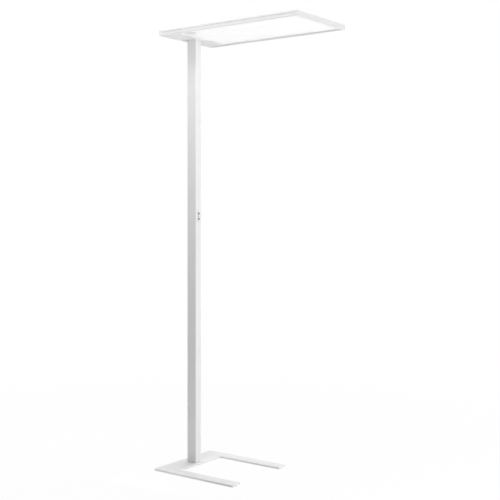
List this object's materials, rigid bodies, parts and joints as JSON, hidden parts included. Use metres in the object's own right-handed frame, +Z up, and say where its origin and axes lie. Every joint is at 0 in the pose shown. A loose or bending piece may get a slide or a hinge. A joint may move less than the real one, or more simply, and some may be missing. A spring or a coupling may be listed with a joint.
{
  "type": "floor lamp",
  "caption": "Office floor lamp: a flat rectangular light head held out by a rectangular post on a flat U-shaped foot, with press keys on the post.",
  "frame": {"origin": "on the floor under the post's axis, at the middle of the pad under the post", "axes": "+X from the post towards the prong tips and the head's free end, +Y across the lamp, +Z up"},
  "size_m": [0.749, 0.396, 1.95],
  "materials": {
    "white_coated_steel": "matte fine-textured white powder coat on steel",
    "white_coated_aluminium": "matte fine-textured white powder coat on aluminium",
    "white_plastic": "satin white moulded plastic",
    "dark_inlay": "smooth dark grey moulded plastic",
    "black_plastic": "matte black moulded plastic",
    "dark_rubber": "matte dark elastomer",
    "pale_rubber": "matte pale grey elastomer",
    "bare_aluminium": "milled bare aluminium",
    "zinc_steel": "zinc-plated steel",
    "white_screws": "white-painted steel screws",
    "opal_diffuser": "satin opal acrylic sheet",
    "opal_dome": "milky polyethylene lens",
    "clear_acrylic": "clear acrylic plate",
    "reflector_film": "white reflector film",
    "white_boards": "white printed circuit board with light diodes",
    "green_boards": "green printed circuit board",
    "grey_lead": "grey cable jacket",
    "grey_plastic": "satin grey moulded plastic"
  },
  "bodies": {
    "lamp": {"base_plate": "white_coated_steel", "post_tube": "white_coated_aluminium", "side_rail_near": "white_coated_aluminium", "side_rail_far": "white_coated_aluminium", "end_cap_post": "white_coated_aluminium", "end_cap_free": "white_coated_aluminium", "cross_bar": "white_coated_aluminium", "bay_cover": "white_coated_aluminium", "top_cover": "white_coated_aluminium", "control_frame": "white_coated_aluminium", "sensor_box": "white_plastic", "terminal_block": "white_plastic", "lead_clips": "white_plastic", "driver": "white_plastic", "cord_gland": "black_plastic", "control_housing": "black_plastic", "switch_upper": "black_plastic", "switch_lower": "black_plastic", "base_pads": "dark_rubber", "foot_gasket": "pale_rubber", "foot_block": "bare_aluminium", "top_block": "bare_aluminium", "heat_plate": "bare_aluminium", "foot_screws": "zinc_steel", "post_screws": "zinc_steel", "head_bracket": "zinc_steel", "bracket_bolts": "zinc_steel", "bracket_screws": "zinc_steel", "cover_spacers": "zinc_steel", "end_cap_screws": "white_screws", "bay_cover_screws": "white_screws", "top_cover_screws": "white_screws", "downlight_diffuser": "opal_diffuser", "uplight_pane": "opal_diffuser", "sensor_dome": "opal_dome", "light_guide": "clear_acrylic", "reflector_sheet": "reflector_film", "led_strip_near": "white_boards", "led_strip_far": "white_boards", "uplight_boards": "white_boards", "control_board": "green_boards", "sensor_board": "green_boards", "mains_lead": "grey_lead", "control_lead": "grey_lead", "led_leads": "grey_lead"},
    "upper_key": {"key_upper": "white_plastic", "key_dot_upper": "dark_inlay", "plunger_upper": "grey_plastic"},
    "lower_key": {"key_lower": "white_plastic", "key_dot_lower": "dark_inlay", "plunger_lower": "grey_plastic"}
  },
  "joints": [
    {"name": "upper_key_press", "type": "slide", "parent": "lamp", "child": "upper_key", "axis": [-1, 0, 0], "range_m": [0, 0.001], "stiffness_N_per_m": 900, "springref_m": -0.001},
    {"name": "lower_key_press", "type": "slide", "parent": "lamp", "child": "lower_key", "axis": [-1, 0, 0], "range_m": [0, 0.001], "stiffness_N_per_m": 900, "springref_m": -0.001}
  ]
}
